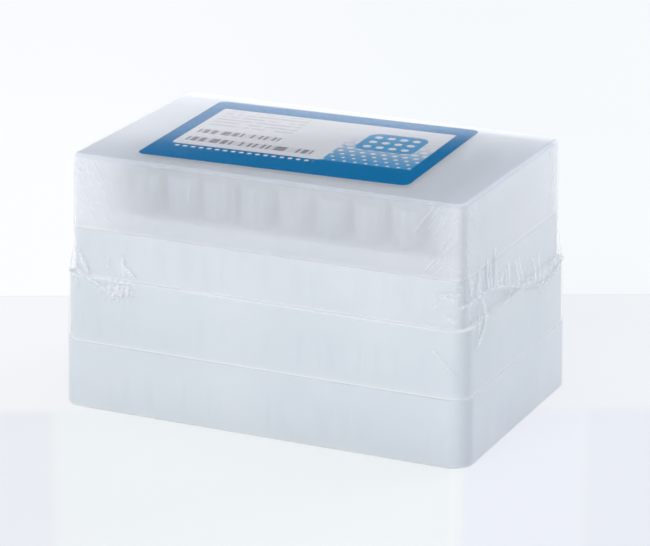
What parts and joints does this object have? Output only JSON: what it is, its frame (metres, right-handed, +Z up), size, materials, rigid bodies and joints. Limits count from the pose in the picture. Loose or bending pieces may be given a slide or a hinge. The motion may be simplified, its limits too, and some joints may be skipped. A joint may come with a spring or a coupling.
{
  "type": "box of pipette tips",
  "caption": "Sealed box of long laboratory pipette tips: frosted lid with a label over a milky stepped box, tips standing in a rack, wrapped in clear shrink film.",
  "frame": {"origin": "centre of the footprint, on the surface that the pack stands on", "axes": "+X along the long side, +Y across the box towards the back, +Z up through the lid"},
  "size_m": [0.132, 0.0848, 0.0783],
  "materials": {
    "film": "clear shrink film",
    "label_paper": "printed semi-gloss paper",
    "frosted_lid": "frosted clear",
    "milky_plastic": "milky satin",
    "tip_plastic": "natural translucent"
  },
  "bodies": {
    "root": {"shrink_film": "film", "label": "label_paper", "lid": "frosted_lid", "rack_tray": "milky_plastic", "middle_tier": "milky_plastic", "base_tub": "milky_plastic", "tips_column_01": "tip_plastic", "tips_column_02": "tip_plastic", "tips_column_03": "tip_plastic", "tips_column_04": "tip_plastic", "tips_column_05": "tip_plastic", "tips_column_06": "tip_plastic", "tips_column_07": "tip_plastic", "tips_column_08": "tip_plastic", "tips_column_09": "tip_plastic", "tips_column_10": "tip_plastic"}
  },
  "joints": []
}
